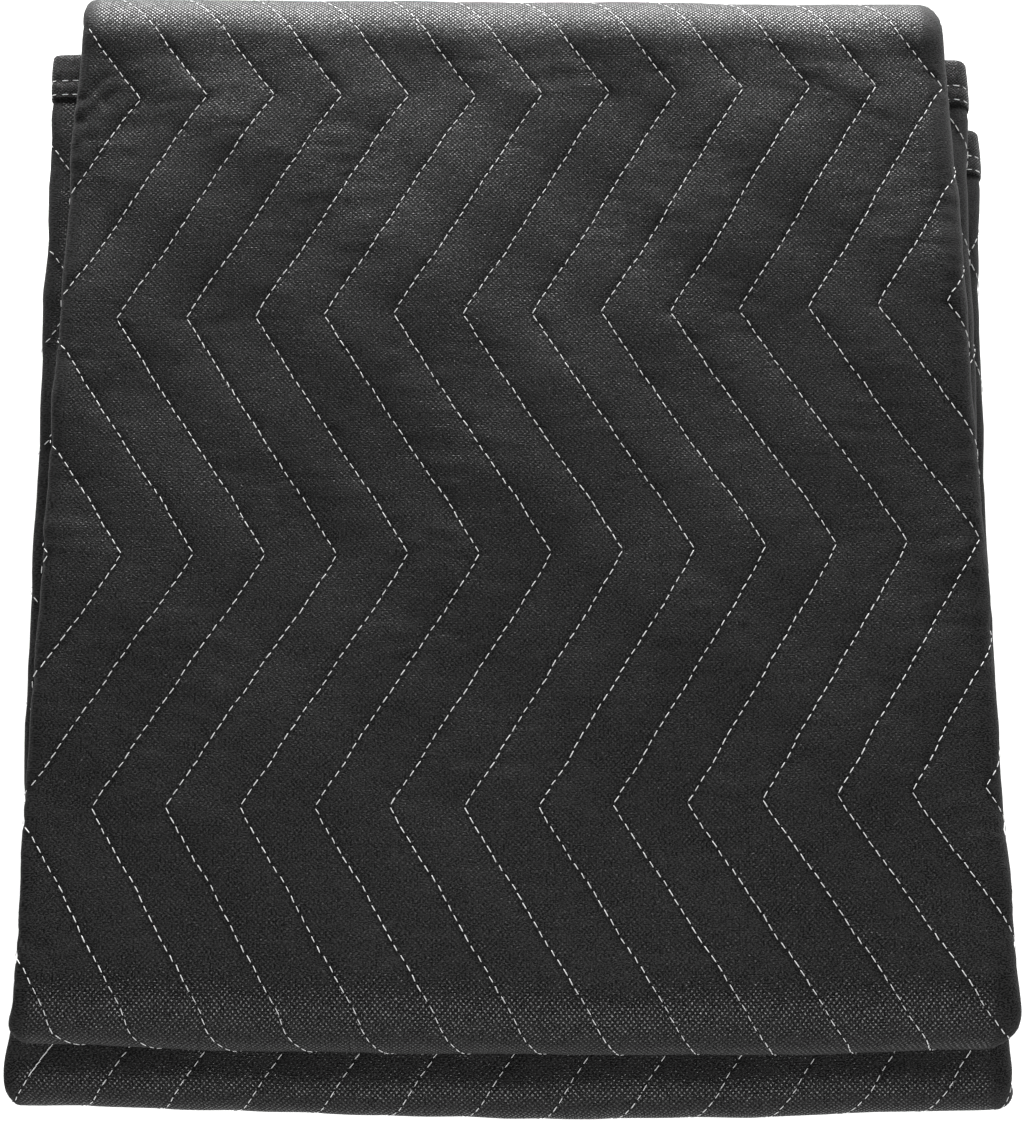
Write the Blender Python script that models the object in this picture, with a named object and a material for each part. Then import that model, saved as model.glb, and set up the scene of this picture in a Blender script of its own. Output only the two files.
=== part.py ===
"""A quilted moving pad, bound on its four edges and folded in quarters both ways.

The pad is laid out flat in its own cloth coordinates, scored where it will bend, and then folded:
u runs across the pad, v along it and n out of its face side. First the two long edges go to the
middle and the pad is closed on itself, which makes a strip of four layers with one fat fold at its
right and two thin ones at its left. Then the strip's two ends go to the middle and it is closed
again, which makes two thin folds at the front and one fat fold at the back. Metres, +Z up.
"""

import math

import bmesh
import bpy

# The pad's layers. The lower half of the stack is pressed by the upper half.
LOW_PITCH = 0.00435  # from one layer to the next in the lower half
HIGH_PITCH = 0.0055  # and in the looser upper half
END_PITCH = 0.0046  # and at the bound ends
FILL = 0.86  # a layer's thickness, as a share of its pitch
STRIP_GAP = 0.0006  # between a strip and the one that is folded on it
HALVES_GAP = 0.0012  # between the lower two strips and the upper two

# Where the strip turns and ends, from the centre of the back fold, towards the front.
LOW_FRONT_Y = -0.4965
HIGH_FRONT_Y = -0.4650
LOW_END_Y = -0.0205
HIGH_END_Y = 0.0070

# Where the pad is folded across its width, each side of the line in the middle of the top.
LEFT_CREASE = -0.2106
RIGHT_CREASE = 0.2082
FLAP_LEFT = 0.965  # how much of a layer's width each of the two edge flaps fills
FLAP_RIGHT = 0.945

# Quilting: zigzag rows of stitching that run along the pad.
LINE_SPACING = 0.0331
LINE_OFFSET = 0.0101  # of one line's left corner from the middle of the top
ZIGZAG_WIDTH = 0.0715
ZIGZAG_STEP = 0.1153  # along the pad, from one corner to the next
HIDDEN_STEP = 0.1233  # the same, round the back and underneath
CORNER_ROW_Y = -0.0345  # the last row of right-hand corners on the top
CROWN = 0.0009  # how far a channel stands above its stitching
TAUT = 0.5  # the share of that which is pulled flat round the folds

# Binding: a tape that is folded over the pad's edge, which it presses thin.
BINDING_WIDTH = 0.0250
TAPE = 0.0006
CLEARANCE = 0.0003
BOUND_THICKNESS = 0.0022
BOUND_ZONE = BINDING_WIDTH + 0.001
TAPER = 0.0050  # from the pressed edge to the full thickness

# How the stack lies.
BACK_RISE = 0.1200  # the fat back fold stands this share higher than the front
FRONT_BOW = 0.0045  # the front folds bow out in the middle

LOW_HEIGHT = 8 * LOW_PITCH + STRIP_GAP
HEIGHT = LOW_HEIGHT + HALVES_GAP + 8 * HIGH_PITCH + STRIP_GAP
LOW_RADIUS = (7 * LOW_PITCH + STRIP_GAP) / 2
HIGH_RADIUS = (7 * HIGH_PITCH + STRIP_GAP) / 2
BACK_RADIUS = (HEIGHT - (LOW_PITCH + HIGH_PITCH) / 2) / 2
FLOOR_GAP = LOW_PITCH * (1 - FILL) / 2
LAYER_WIDTH = RIGHT_CREASE - LEFT_CREASE
THIN_FOLD = math.pi * HIGH_PITCH / 2
FAT_FOLD = math.pi * HIGH_PITCH * 1.5
CUT_LEFT = -LEFT_CREASE + THIN_FOLD + FLAP_LEFT * LAYER_WIDTH
CUT_RIGHT = RIGHT_CREASE + FAT_FOLD + THIN_FOLD + (1 + FLAP_RIGHT) * LAYER_WIDTH

# The outer layer's line through the fold: name, length and, where it turns, radius.
STRETCHES = (
    ("low_tuck", LOW_END_Y - LOW_FRONT_Y, 0),
    ("low_front", math.pi * LOW_RADIUS, LOW_RADIUS),
    ("base", -LOW_FRONT_Y, 0),
    ("back", math.pi * BACK_RADIUS, BACK_RADIUS),
    ("top", -HIGH_FRONT_Y, 0),
    ("high_front", math.pi * HIGH_RADIUS, HIGH_RADIUS),
    ("high_tuck", HIGH_END_Y - HIGH_FRONT_Y, 0),
)
STARTS = {}
CUT_LENGTH = 0.0
for _name, _length, _radius in STRETCHES:
    STARTS[_name] = CUT_LENGTH
    CUT_LENGTH += _length
LENGTHS = {name: length for name, length, _ in STRETCHES}

# How the strip wanders: stretch, share of the way along it, the outermost left and right, and pitch.
STRIP = (
    ("low_tuck", 0.0, -0.2330, 0.2476, END_PITCH),
    ("low_tuck", 0.25, -0.2320, 0.2392, LOW_PITCH),
    ("low_tuck", 0.5, -0.2296, 0.2349, LOW_PITCH),
    ("low_tuck", 0.93, -0.2280, 0.2280, LOW_PITCH),
    ("low_front", 0.2, -0.2318, 0.2266, LOW_PITCH),
    ("low_front", 0.5, -0.2303, 0.2291, LOW_PITCH),
    ("base", 0.0, -0.2285, 0.2261, LOW_PITCH),
    ("base", 0.5, -0.2256, 0.2256, LOW_PITCH),
    ("back", 0.0, -0.2205, 0.2205, LOW_PITCH),
    ("back", 0.5, -0.2186, 0.2194, (LOW_PITCH + HIGH_PITCH) / 2),
    ("back", 0.8, -0.2185, 0.2203, HIGH_PITCH),
    ("top", 0.0, -0.2172, 0.2193, HIGH_PITCH),
    ("top", 0.12, -0.2198, 0.2197, HIGH_PITCH),
    ("top", 0.25, -0.2193, 0.2205, HIGH_PITCH),
    ("top", 0.5, -0.2189, 0.2208, HIGH_PITCH),
    ("top", 0.75, -0.2191, 0.2210, HIGH_PITCH),
    ("high_front", 0.0, -0.2179, 0.2206, HIGH_PITCH),
    ("high_front", 0.3, -0.2209, 0.2218, HIGH_PITCH),
    ("high_front", 0.5, -0.2185, 0.2180, HIGH_PITCH),
    ("high_tuck", 0.0, -0.2185, 0.2208, HIGH_PITCH),
    ("high_tuck", 0.25, -0.2274, 0.2243, HIGH_PITCH),
    ("high_tuck", 0.5, -0.2318, 0.2270, HIGH_PITCH),
    ("high_tuck", 0.75, -0.2364, 0.2308, HIGH_PITCH),
    ("high_tuck", 1.0, -0.2416, 0.2373, END_PITCH),
)

# How finely each stretch of the strip and of its section is scored.
ALONG = {"low_tuck": 2, "low_front": 7, "base": 4, "back": 10, "top": 8, "high_front": 8, "high_tuck": 3}
THIN_FOLD_STEPS = 4
FAT_FOLD_STEPS = 7
QUILTED = ("low_front", "back", "top", "high_front")
FACE = 0.5  # n of the board's face side before the fold


def eased(share):
    """0 to 1 with a level start and end."""
    share = min(max(share, 0.0), 1.0)
    return share * share * (3 - 2 * share)


def at(stretch, share):
    """The v that lies this share of the way along a stretch."""
    return STARTS[stretch] + share * LENGTHS[stretch]


def strip_at(v):
    """The outermost left and right of the strip at v, and its pitch."""
    places = [at(row[0], row[1]) for row in STRIP]
    if v >= places[-1]:
        return STRIP[-1][2:]
    index = max(i for i, place in enumerate(places) if place <= max(v, 0.0))
    share = eased((v - places[index]) / (places[index + 1] - places[index]))
    return tuple(a + (b - a) * share for a, b in zip(STRIP[index][2:], STRIP[index + 1][2:]))


def line_at(v):
    """(y, z) of the outer layer's middle at v, and the direction (y, z) that its face looks."""
    y, z, heading = LOW_END_Y, LOW_HEIGHT - LOW_PITCH / 2 - FLOOR_GAP, math.pi
    for name, length, radius in STRETCHES:
        last = name == STRETCHES[-1][0]
        step = min(v - STARTS[name], math.inf if last else length)
        if radius:
            turn = step / radius
            y += radius * (math.sin(heading + turn) - math.sin(heading))
            z += radius * (math.cos(heading) - math.cos(heading + turn))
            heading += turn
        else:
            y += step * math.cos(heading)
            z += step * math.sin(heading)
        if last or v < STARTS[name] + length:
            break
    return y, z, math.sin(heading), -math.cos(heading)


def section_lines(v):
    """The strip's section at v: x of its left and right fold centres, and its pitch."""
    left, right, pitch = strip_at(v)
    half = FILL * pitch / 2
    return left + half + pitch / 2, right - half - 1.5 * pitch, pitch


def section_at(u, v):
    """(x, depth under the outer layer) of the pad's middle at u, and the way its face looks there."""
    left, right, pitch = section_lines(v)
    thin, fat = pitch / 2, 1.5 * pitch
    across = (right - left) / LAYER_WIDTH
    if u < LEFT_CREASE - THIN_FOLD:
        return left + (LEFT_CREASE - THIN_FOLD - u) * across, pitch, 0.0, 1.0
    if u < LEFT_CREASE:
        turn = (LEFT_CREASE - u) / THIN_FOLD * math.pi
        return left - thin * math.sin(turn), thin * (1 - math.cos(turn)), -math.sin(turn), -math.cos(turn)
    if u <= RIGHT_CREASE:
        return left + (u - LEFT_CREASE) * across, 0.0, 0.0, -1.0
    u -= RIGHT_CREASE
    if u < FAT_FOLD:
        turn = u / FAT_FOLD * math.pi
        return right + fat * math.sin(turn), fat * (1 - math.cos(turn)), math.sin(turn), -math.cos(turn)
    u -= FAT_FOLD
    if u <= LAYER_WIDTH:
        return right - u * across, 2 * fat, 0.0, 1.0
    u -= LAYER_WIDTH
    if u < THIN_FOLD:
        turn = u / THIN_FOLD * math.pi
        return left - thin * math.sin(turn), 5 * thin + thin * math.cos(turn), -math.sin(turn), math.cos(turn)
    return left + (u - THIN_FOLD) * across, 4 * thin, 0.0, -1.0


def bow_at(x, v):
    """How far the front folds bow out at x, in straight runs between the scores."""
    left, right, _ = section_lines(v)
    share = (x - left) / (right - left)
    near = min(abs(share), abs(1 - share), 0.5) * (-1 if share < 0 or share > 1 else 1)
    return FRONT_BOW * (3 * near if near < 0.25 else 0.5 + near)


def fold(u, v, n):
    """Where a point of the flat pad lies once it is folded: u across, v along, n out of the face."""
    x, depth, out_x, out_depth = section_at(u, v)
    y, z, face_y, face_z = line_at(v)
    bow = bow_at(x, v)
    x += n * out_x
    depth += n * out_depth
    y -= depth * face_y
    z -= depth * face_z
    backwards = (y - HIGH_FRONT_Y) / -HIGH_FRONT_Y
    return x, y - bow * eased(1 - backwards), z * (1 + BACK_RISE * backwards)


def edge_share(u, v):
    """0 where the binding presses the pad thin, 1 where it is full."""
    inside = min(u + CUT_LEFT, CUT_RIGHT - u, v, CUT_LENGTH - v)
    return eased((inside - BOUND_ZONE) / TAPER)


def corner_rows():
    """v of the rows where the zigzags turn, each with the lines' shift to the right there."""
    first = STARTS["top"] - CORNER_ROW_Y
    rows = [(first + k * ZIGZAG_STEP, k) for k in range(-1, 12)]
    rows = [(rows[0][0] - k * HIDDEN_STEP, -1 - k) for k in range(12, 0, -1)] + rows
    kept = [(v, k) for v, k in rows if -HIDDEN_STEP < v < CUT_LENGTH + ZIGZAG_STEP]
    return [(v, 0.0 if k % 2 else ZIGZAG_WIDTH) for v, k in kept]


def shift_at(v, rows):
    """How far right of their left corners the zigzag lines are at v."""
    for (low, a), (high, b) in zip(rows, rows[1:]):
        if low <= v <= high:
            return a + (b - a) * (v - low) / (high - low)
    return 0.0


def relief(u, v, rows):
    """How far under the crown of its channel the face lies, 0 where it is pressed flat."""
    apart = (u - LINE_OFFSET - shift_at(v, rows)) / LINE_SPACING
    apart = abs(apart - round(apart)) * 2
    rise = eased((v - at("low_front", 0.15)) / 0.01) * eased((at("high_front", 1.0) - v) / 0.01)
    pressed = eased((v - at("low_front", 0.6)) / 0.015) * eased((at("back", 0.25) - v) / 0.02)
    bent = any(at(name, 0) < v < at(name, 1) for name, _, radius in STRETCHES if radius)
    return CROWN * (1 - apart) * rise * (1 - pressed) * (1 - TAUT * bent)


def score(bm, faces, point, normal):
    """Cuts these faces of a board along a plane."""
    edges = {edge for face in faces for edge in face.edges}
    corners = {vertex for face in faces for vertex in face.verts}
    geometry = [*faces, *edges, *corners]
    bmesh.ops.bisect_plane(bm, geom=geometry, dist=1e-6, plane_co=point, plane_no=normal)


def board(low, high, u_cuts=(), v_cuts=(), n_cuts=()):
    """A flat board between two corners, scored across its three directions."""
    bm = bmesh.new()
    bmesh.ops.create_cube(bm, size=1)
    for vertex in bm.verts:
        vertex.co = [a if c < 0 else b for c, a, b in zip(vertex.co, low, high)]
    for axis, cuts in enumerate((u_cuts, v_cuts, n_cuts)):
        normal = [float(axis == k) for k in range(3)]
        for cut in cuts:
            score(bm, bm.faces[:], [cut * part for part in normal], normal)
    return bm


def u_stations():
    """Where the pad is scored along its length: at its pressed edges and through its folds."""
    folds = (
        (LEFT_CREASE - THIN_FOLD, THIN_FOLD, THIN_FOLD_STEPS),
        (RIGHT_CREASE, FAT_FOLD, FAT_FOLD_STEPS),
        (RIGHT_CREASE + FAT_FOLD + LAYER_WIDTH, THIN_FOLD, THIN_FOLD_STEPS),
    )
    found = [-CUT_LEFT, BOUND_ZONE - CUT_LEFT, BOUND_ZONE + TAPER - CUT_LEFT]
    found += [CUT_RIGHT - BOUND_ZONE - TAPER, CUT_RIGHT - BOUND_ZONE, CUT_RIGHT]
    for start, width, steps in folds:
        found += [start + width * k / steps for k in range(steps + 1)]
    for share in (0.25, 0.5, 0.75):
        found += [start - share * LAYER_WIDTH for start, _, _ in folds]
        found += [folds[2][0] + folds[2][1] + share * LAYER_WIDTH]
    return sorted(found)


def v_stations():
    """Where the pad is scored across: at its pressed ends and through its folds."""
    edges = [BOUND_ZONE, BOUND_ZONE + TAPER, CUT_LENGTH - BOUND_ZONE - TAPER, CUT_LENGTH - BOUND_ZONE]
    steps = [at(name, k / count) for name, count in ALONG.items() for k in range(count)]
    return sorted(edges + steps[1:])


def finished(name, bm, collection, material, mirrored=False):
    """Makes the object of a folded board. Folding turns its faces inwards unless it was mirrored."""
    if not mirrored:
        bmesh.ops.reverse_faces(bm, faces=bm.faces)
    mesh = bpy.data.meshes.new(name)
    bm.to_mesh(mesh)
    bm.free()
    mesh.shade_smooth()
    mesh.set_sharp_from_angle(angle=math.radians(50))
    mesh.materials.append(material)
    obj = bpy.data.objects.new(name, mesh)
    collection.objects.link(obj)
    return obj


def score_quilting(bm, rows):
    """Scores the face that will show along its stitching, and along the middle of each channel."""
    ends = [(STARTS[name], STARTS[name] + LENGTHS[name]) for name in QUILTED]
    left, right = LEFT_CREASE - THIN_FOLD / 2, RIGHT_CREASE + FAT_FOLD

    def shown(face, low, high):
        middle = face.calc_center_median()
        quilted = low <= middle.y <= high and any(a <= middle.y <= b for a, b in ends)
        return quilted and left < middle.x < right and face.normal.z > 0.5

    for v, _ in rows:
        near = [face for face in bm.faces if shown(face, v - ZIGZAG_STEP, v + ZIGZAG_STEP)]
        score(bm, near, (0, v, 0), (0, 1, 0))
    for (low, a), (high, b) in zip(rows, rows[1:]):
        lean = (b - a) / (high - low)
        for k in range(-18, 19):
            start = LINE_OFFSET + a + k * LINE_SPACING / 2
            band = [face for face in bm.faces if shown(face, low, high)]
            if band:
                score(bm, band, (start, low, 0), (1, -lean, 0))


def make_pad(collection, material):
    """The quilted pad, one sheet through all its folds."""
    rows = corner_rows()
    bm = board((-CUT_LEFT, 0, -FACE), (CUT_RIGHT, CUT_LENGTH, FACE), u_stations()[1:-1], v_stations())
    bm.normal_update()
    score_quilting(bm, rows)
    bmesh.ops.triangulate(bm, faces=bm.faces)
    for vertex in bm.verts:
        u, v, side = vertex.co
        full = FILL * strip_at(v)[2]
        n = (BOUND_THICKNESS + (full - BOUND_THICKNESS) * edge_share(u, v)) * side
        if side > 0:
            n -= relief(u, v, rows) * edge_share(u, v)
        vertex.co = fold(u, v, n)
    return finished("pad", bm, collection, material)


def channel(low, high, cuts, across):
    """A flat tape folded over an edge: across is 0 where the edge is at a side, 1 at an end."""
    inner = BOUND_THICKNESS / 2 + CLEARANCE
    outer = inner + TAPE
    ends = [cut for cut in cuts if low < cut < high]
    size = [(low, high), (low, high), (-outer, outer)]
    size[across] = (-CLEARANCE - TAPE, -CLEARANCE)
    cuts = ((), ends) if across == 0 else (ends, ())
    bm = board([a for a, _ in size], [b for _, b in size], *cuts, (-inner, inner))
    bm.normal_update()
    lips = [f for f in bm.faces if f.normal[across] > 0.5 and abs(f.calc_center_median().z) > inner]
    made = bmesh.ops.extrude_face_region(bm, geom=lips)
    bmesh.ops.delete(bm, geom=lips, context="FACES")
    for part in made["geom"]:
        if isinstance(part, bmesh.types.BMVert):
            part.co[across] = BINDING_WIDTH
    bmesh.ops.triangulate(bm, faces=bm.faces)
    return bm


def make_end_binding(name, far, collection, material):
    """The tape over an end of the pad, folded with its four layers."""
    reach = CLEARANCE + TAPE
    bm = channel(-CUT_LEFT - reach, CUT_RIGHT + reach, u_stations(), across=1)
    for vertex in bm.verts:
        u, v, n = vertex.co
        vertex.co = fold(u, CUT_LENGTH - v if far else v, n)
    return finished(name, bm, collection, material, mirrored=far)


def make_side_binding(name, far, collection, material):
    """The tape over a long edge, which runs through the strip's folds between the end tapes."""
    start = BINDING_WIDTH + CLEARANCE
    bm = channel(start, CUT_LENGTH - start, v_stations(), across=0)
    for vertex in bm.verts:
        u, v, n = vertex.co
        vertex.co = fold(CUT_RIGHT - u if far else u - CUT_LEFT, v, n)
    return finished(name, bm, collection, material, mirrored=far)


def cloth_material(name, colour, roughness):
    """A plain cloth colour."""
    material = bpy.data.materials.new(name)
    material.use_nodes = True
    shader = material.node_tree.nodes["Principled BSDF"]
    shader.inputs["Base Color"].default_value = (*colour, 1)
    shader.inputs["Roughness"].default_value = roughness
    return material


def stand_on_origin(objects):
    """Puts the origin under the middle of the stack, at its base."""
    points = [vertex.co for obj in objects for vertex in obj.data.vertices]
    low = [min(point[k] for point in points) for k in range(3)]
    high = [max(point[k] for point in points) for k in range(3)]
    move = (-(low[0] + high[0]) / 2, -(low[1] + high[1]) / 2, -low[2])
    stack = bpy.data.objects.new("folded_stack", None)
    objects[0].users_collection[0].objects.link(stack)
    stack.location = move
    for obj in objects:
        obj.parent = stack


def main():
    for obj in list(bpy.data.objects):
        bpy.data.objects.remove(obj, do_unlink=True)
    collection = bpy.data.collections.new("moving_pad")
    bpy.context.scene.collection.children.link(collection)
    face = cloth_material("black_face_cloth", (0.030, 0.030, 0.031), 0.8)
    tape = cloth_material("black_binding_tape", (0.024, 0.024, 0.025), 0.75)
    pieces = [make_pad(collection, face)]
    pieces += [make_end_binding("binding_low_end", False, collection, tape)]
    pieces += [make_end_binding("binding_high_end", True, collection, tape)]
    pieces += [make_side_binding("binding_left_edge", False, collection, tape)]
    pieces += [make_side_binding("binding_right_edge", True, collection, tape)]
    stand_on_origin(pieces)


main()
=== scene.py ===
import math

import bmesh
import bpy
import numpy as np
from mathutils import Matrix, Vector, noise


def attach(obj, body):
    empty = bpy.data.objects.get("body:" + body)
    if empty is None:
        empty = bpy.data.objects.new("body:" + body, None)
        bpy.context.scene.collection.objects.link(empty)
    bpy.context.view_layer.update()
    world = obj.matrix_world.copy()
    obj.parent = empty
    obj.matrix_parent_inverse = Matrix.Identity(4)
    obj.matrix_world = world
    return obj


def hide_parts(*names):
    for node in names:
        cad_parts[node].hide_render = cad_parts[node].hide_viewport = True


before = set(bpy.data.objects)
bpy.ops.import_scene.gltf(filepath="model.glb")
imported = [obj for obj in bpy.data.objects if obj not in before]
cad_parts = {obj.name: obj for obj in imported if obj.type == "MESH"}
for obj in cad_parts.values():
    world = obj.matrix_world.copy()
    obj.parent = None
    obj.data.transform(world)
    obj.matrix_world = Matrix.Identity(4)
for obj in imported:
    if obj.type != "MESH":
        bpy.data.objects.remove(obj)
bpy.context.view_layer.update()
scene = bpy.context.scene
mm = 0.001


# the camera comes first, so that everything else can be judged from it
cameraSettings = {
    "elevation": 73.58,  # degrees above the horizon
    "lens": 55.54,  # mm on a 36 mm sensor along the long side
    "place": (-0.0036, -0.2583, 0.8485),
}


def addCamera(s):
    data = bpy.data.cameras.new("photoCamera")
    data.lens = s["lens"]
    data.sensor_width = 36
    data.clip_start = 0.01
    camera = bpy.data.objects.new("photoCamera", data)
    scene.collection.objects.link(camera)
    camera.location = s["place"]
    camera.rotation_euler = (math.radians(90 - s["elevation"]), 0, 0)
    scene.camera = camera


addCamera(cameraSettings)
print("camera in place")


# how the pad is folded: u runs across the flat pad, v along it, n out of its face
folding = {
    "lowPitch": 4.35 * mm,  # layer to layer in the lower half
    "highPitch": 5.5 * mm,
    "endPitch": 4.6 * mm,
    "fill": 0.86,  # a layer's share of its pitch
    "stripGap": 0.6 * mm,
    "halvesGap": 1.2 * mm,
    "lowFrontY": -496.5 * mm,  # from the centre of the back fold
    "highFrontY": -465 * mm,
    "lowEndY": -20.5 * mm,
    "highEndY": 7 * mm,
    "leftCrease": -210.6 * mm,
    "rightCrease": 208.2 * mm,
    "flapLeft": 0.965,  # the edge flaps' share of a layer's width
    "flapRight": 0.945,
    "backRise": 0.12,
    "frontBow": 4.5 * mm,
    "droop": 4.5 * mm,  # how far the top sinks before it rolls over the front fold
    "droopFrom": 11 * mm,  # where that starts and ends, from the fold's centre
    "droopTo": -14 * mm,
    "toFrame": (-2.89 * mm, 239.06 * mm, 0),  # the fold's own origin, in the frame
}
f = folding
lowHeight = 8 * f["lowPitch"] + f["stripGap"]
stackHeight = lowHeight + f["halvesGap"] + 8 * f["highPitch"] + f["stripGap"]
lowRadius = (7 * f["lowPitch"] + f["stripGap"]) / 2
highRadius = (7 * f["highPitch"] + f["stripGap"]) / 2
backRadius = (stackHeight - (f["lowPitch"] + f["highPitch"]) / 2) / 2
floorGap = f["lowPitch"] * (1 - f["fill"]) / 2
layerWidth = f["rightCrease"] - f["leftCrease"]
thinFold = math.pi * f["highPitch"] / 2
fatFold = thinFold * 3
outerLeft, outerRight = f["leftCrease"] - thinFold, f["rightCrease"] + fatFold
farCrease = outerRight + layerWidth
cutLeft = -f["leftCrease"] + thinFold + f["flapLeft"] * layerWidth
cutRight = f["rightCrease"] + fatFold + thinFold + (1 + f["flapRight"]) * layerWidth

stretches = (  # name, length, radius of the outer layer's line
    ("lowTuck", f["lowEndY"] - f["lowFrontY"], 0),
    ("lowFront", math.pi * lowRadius, lowRadius),
    ("base", -f["lowFrontY"], 0),
    ("back", math.pi * backRadius, backRadius),
    ("top", -f["highFrontY"], 0),
    ("highFront", math.pi * highRadius, highRadius),
    ("highTuck", f["highEndY"] - f["highFrontY"], 0),
)
begins = {}
cutLength = 0.0
for stretchName, stretchLength, _ in stretches:
    begins[stretchName] = cutLength
    cutLength += stretchLength
lengths = {stretch[0]: stretch[1] for stretch in stretches}

# stretch, share along it, outermost left and right in mm, pitch
stripEdges = (
    ("lowTuck", 0.0, -233.0, 247.6, f["endPitch"]),
    ("lowTuck", 0.25, -232.0, 239.2, f["lowPitch"]),
    ("lowTuck", 0.5, -229.6, 234.9, f["lowPitch"]),
    ("lowTuck", 0.93, -228.0, 228.0, f["lowPitch"]),
    ("lowFront", 0.2, -231.8, 226.6, f["lowPitch"]),
    ("lowFront", 0.5, -230.3, 229.1, f["lowPitch"]),
    ("base", 0.0, -228.5, 226.1, f["lowPitch"]),
    ("base", 0.5, -225.6, 225.6, f["lowPitch"]),
    ("back", 0.0, -220.5, 220.5, f["lowPitch"]),
    ("back", 0.5, -218.6, 219.4, (f["lowPitch"] + f["highPitch"]) / 2),
    ("back", 0.8, -218.5, 220.3, f["highPitch"]),
    ("top", 0.0, -217.2, 219.3, f["highPitch"]),
    ("top", 0.12, -219.8, 219.7, f["highPitch"]),
    ("top", 0.25, -219.3, 220.5, f["highPitch"]),
    ("top", 0.5, -218.9, 220.8, f["highPitch"]),
    ("top", 0.75, -219.1, 221.0, f["highPitch"]),
    ("highFront", 0.0, -217.9, 220.6, f["highPitch"]),
    ("highFront", 0.3, -220.9, 221.8, f["highPitch"]),
    ("highFront", 0.5, -218.5, 218.0, f["highPitch"]),
    ("highTuck", 0.0, -218.5, 220.8, f["highPitch"]),
    ("highTuck", 0.25, -227.4, 224.3, f["highPitch"]),
    ("highTuck", 0.5, -230.8, 227.0, f["highPitch"]),
    ("highTuck", 0.75, -235.0, 230.8, f["highPitch"]),
    ("highTuck", 1.0, -239.8, 237.3, f["endPitch"]),
)


def eased(share):
    share = np.clip(share, 0, 1)
    return share * share * (3 - 2 * share)


def placeAt(name, share):
    return begins[name] + share * lengths[name]


def stripAt(v):
    places = np.array([placeAt(row[0], row[1]) for row in stripEdges])
    columns = np.array([[row[2] * mm, row[3] * mm, row[4]] for row in stripEdges])
    index = np.clip(np.searchsorted(places, v, side="right") - 1, 0, len(places) - 2)
    share = eased((v - places[index]) / (places[index + 1] - places[index]))[:, None]
    return (columns[index] + (columns[index + 1] - columns[index]) * share).T


def lineAt(v):
    y, z, lookY, lookZ = (np.zeros_like(v) for _ in range(4))
    atY, atZ, heading = f["lowEndY"], lowHeight - f["lowPitch"] / 2 - floorGap, math.pi
    for name, length, radius in stretches:
        here = v >= begins[name] if name != "lowTuck" else np.ones(len(v), bool)
        step = v[here] - begins[name]
        if radius:
            turned = heading + step / radius
            y[here] = atY + radius * (np.sin(turned) - math.sin(heading))
            z[here] = atZ + radius * (math.cos(heading) - np.cos(turned))
            atZ += radius * (math.cos(heading) - math.cos(heading + math.pi))
            heading += math.pi
        else:
            turned = np.full(len(step), heading)
            y[here] = atY + step * math.cos(heading)
            z[here] = atZ
            atY += length * math.cos(heading)
        lookY[here], lookZ[here] = np.sin(turned), -np.cos(turned)
    return y, z, lookY, lookZ


def sectionAt(u, v):
    left, right, pitch = stripAt(v)
    half = f["fill"] * pitch / 2
    thin, fat = pitch / 2, 1.5 * pitch
    left, right = left + half + thin, right - half - fat
    across = (right - left) / layerWidth
    a = u - f["rightCrease"]
    b = a - fatFold
    c = b - layerWidth
    turnLeft = np.clip((f["leftCrease"] - u) / thinFold, 0, 1) * math.pi
    turnFat = np.clip(a / fatFold, 0, 1) * math.pi
    turnFar = np.clip(c / thinFold, 0, 1) * math.pi
    zone = [u < f["leftCrease"] - thinFold, u < f["leftCrease"], a <= 0, b < 0, c <= 0, c < thinFold]
    one = np.ones_like(u)
    x = np.select(zone, [
        left + (f["leftCrease"] - thinFold - u) * across, left - thin * np.sin(turnLeft),
        left + (u - f["leftCrease"]) * across, right + fat * np.sin(turnFat), right - b * across,
        left - thin * np.sin(turnFar)], left + (c - thinFold) * across)
    depth = np.select(zone, [
        pitch, thin * (1 - np.cos(turnLeft)), 0 * one, fat * (1 - np.cos(turnFat)), 2 * fat,
        5 * thin + thin * np.cos(turnFar)], 4 * thin)
    outX = np.select(zone, [0 * one, -np.sin(turnLeft), 0 * one, np.sin(turnFat), 0 * one,
                            -np.sin(turnFar)], 0 * one)
    outDepth = np.select(zone, [one, -np.cos(turnLeft), -one, -np.cos(turnFat), one,
                                np.cos(turnFar)], -one)
    return x, depth, outX, outDepth, (x - left) / (right - left)


slack = {  # how unevenly the pack lies: size, wavelengths in metres along x, y and z, phase
    "sideways": (
        (0.3 * mm, 0, 0.21, 0.055, 0.4),
        (0.25 * mm, 0, 0.068, 0.03, 2.1),
        (0.12 * mm, 0, 0.031, 0.02, 1.0),
    ),
    "lengthways": (
        (1.2 * mm, -0.9, 0, 0, 0),
        (0.5 * mm, 0.33, 0, 0.07, 2.6),
        (0.25 * mm, 0.09, 0, 0.05, 0.8),
        (0.1 * mm, 0.037, 0, 0.03, 1.9),
    ),
    "upwards": (
        (0.9 * mm, 0.27, 0.31, 0, 0.7),
        (0.45 * mm, 0.13, -0.17, 0, 2.2),
        (0.3 * mm, 0.085, 0.07, 0, 1.2),
    ),
    "freeHeight": 0.05,  # the base lies flat, and from here up it wanders upwards in full
}


def settle(points):
    # the whole pack wanders together, so no layer meets the next
    x, y, z = points.T
    moved = points.copy()
    for axis, key in enumerate(("sideways", "lengthways", "upwards")):
        for size, alongX, alongY, alongZ, phase in slack[key]:
            angle = phase
            for value, wave in ((x, alongX), (y, alongY), (z, alongZ)):
                if wave:
                    angle = angle + value * 2 * math.pi / wave
            share = eased(z / slack["freeHeight"]) if axis == 2 else 1.0
            moved[:, axis] += size * np.sin(angle) * share
    return moved


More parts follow.
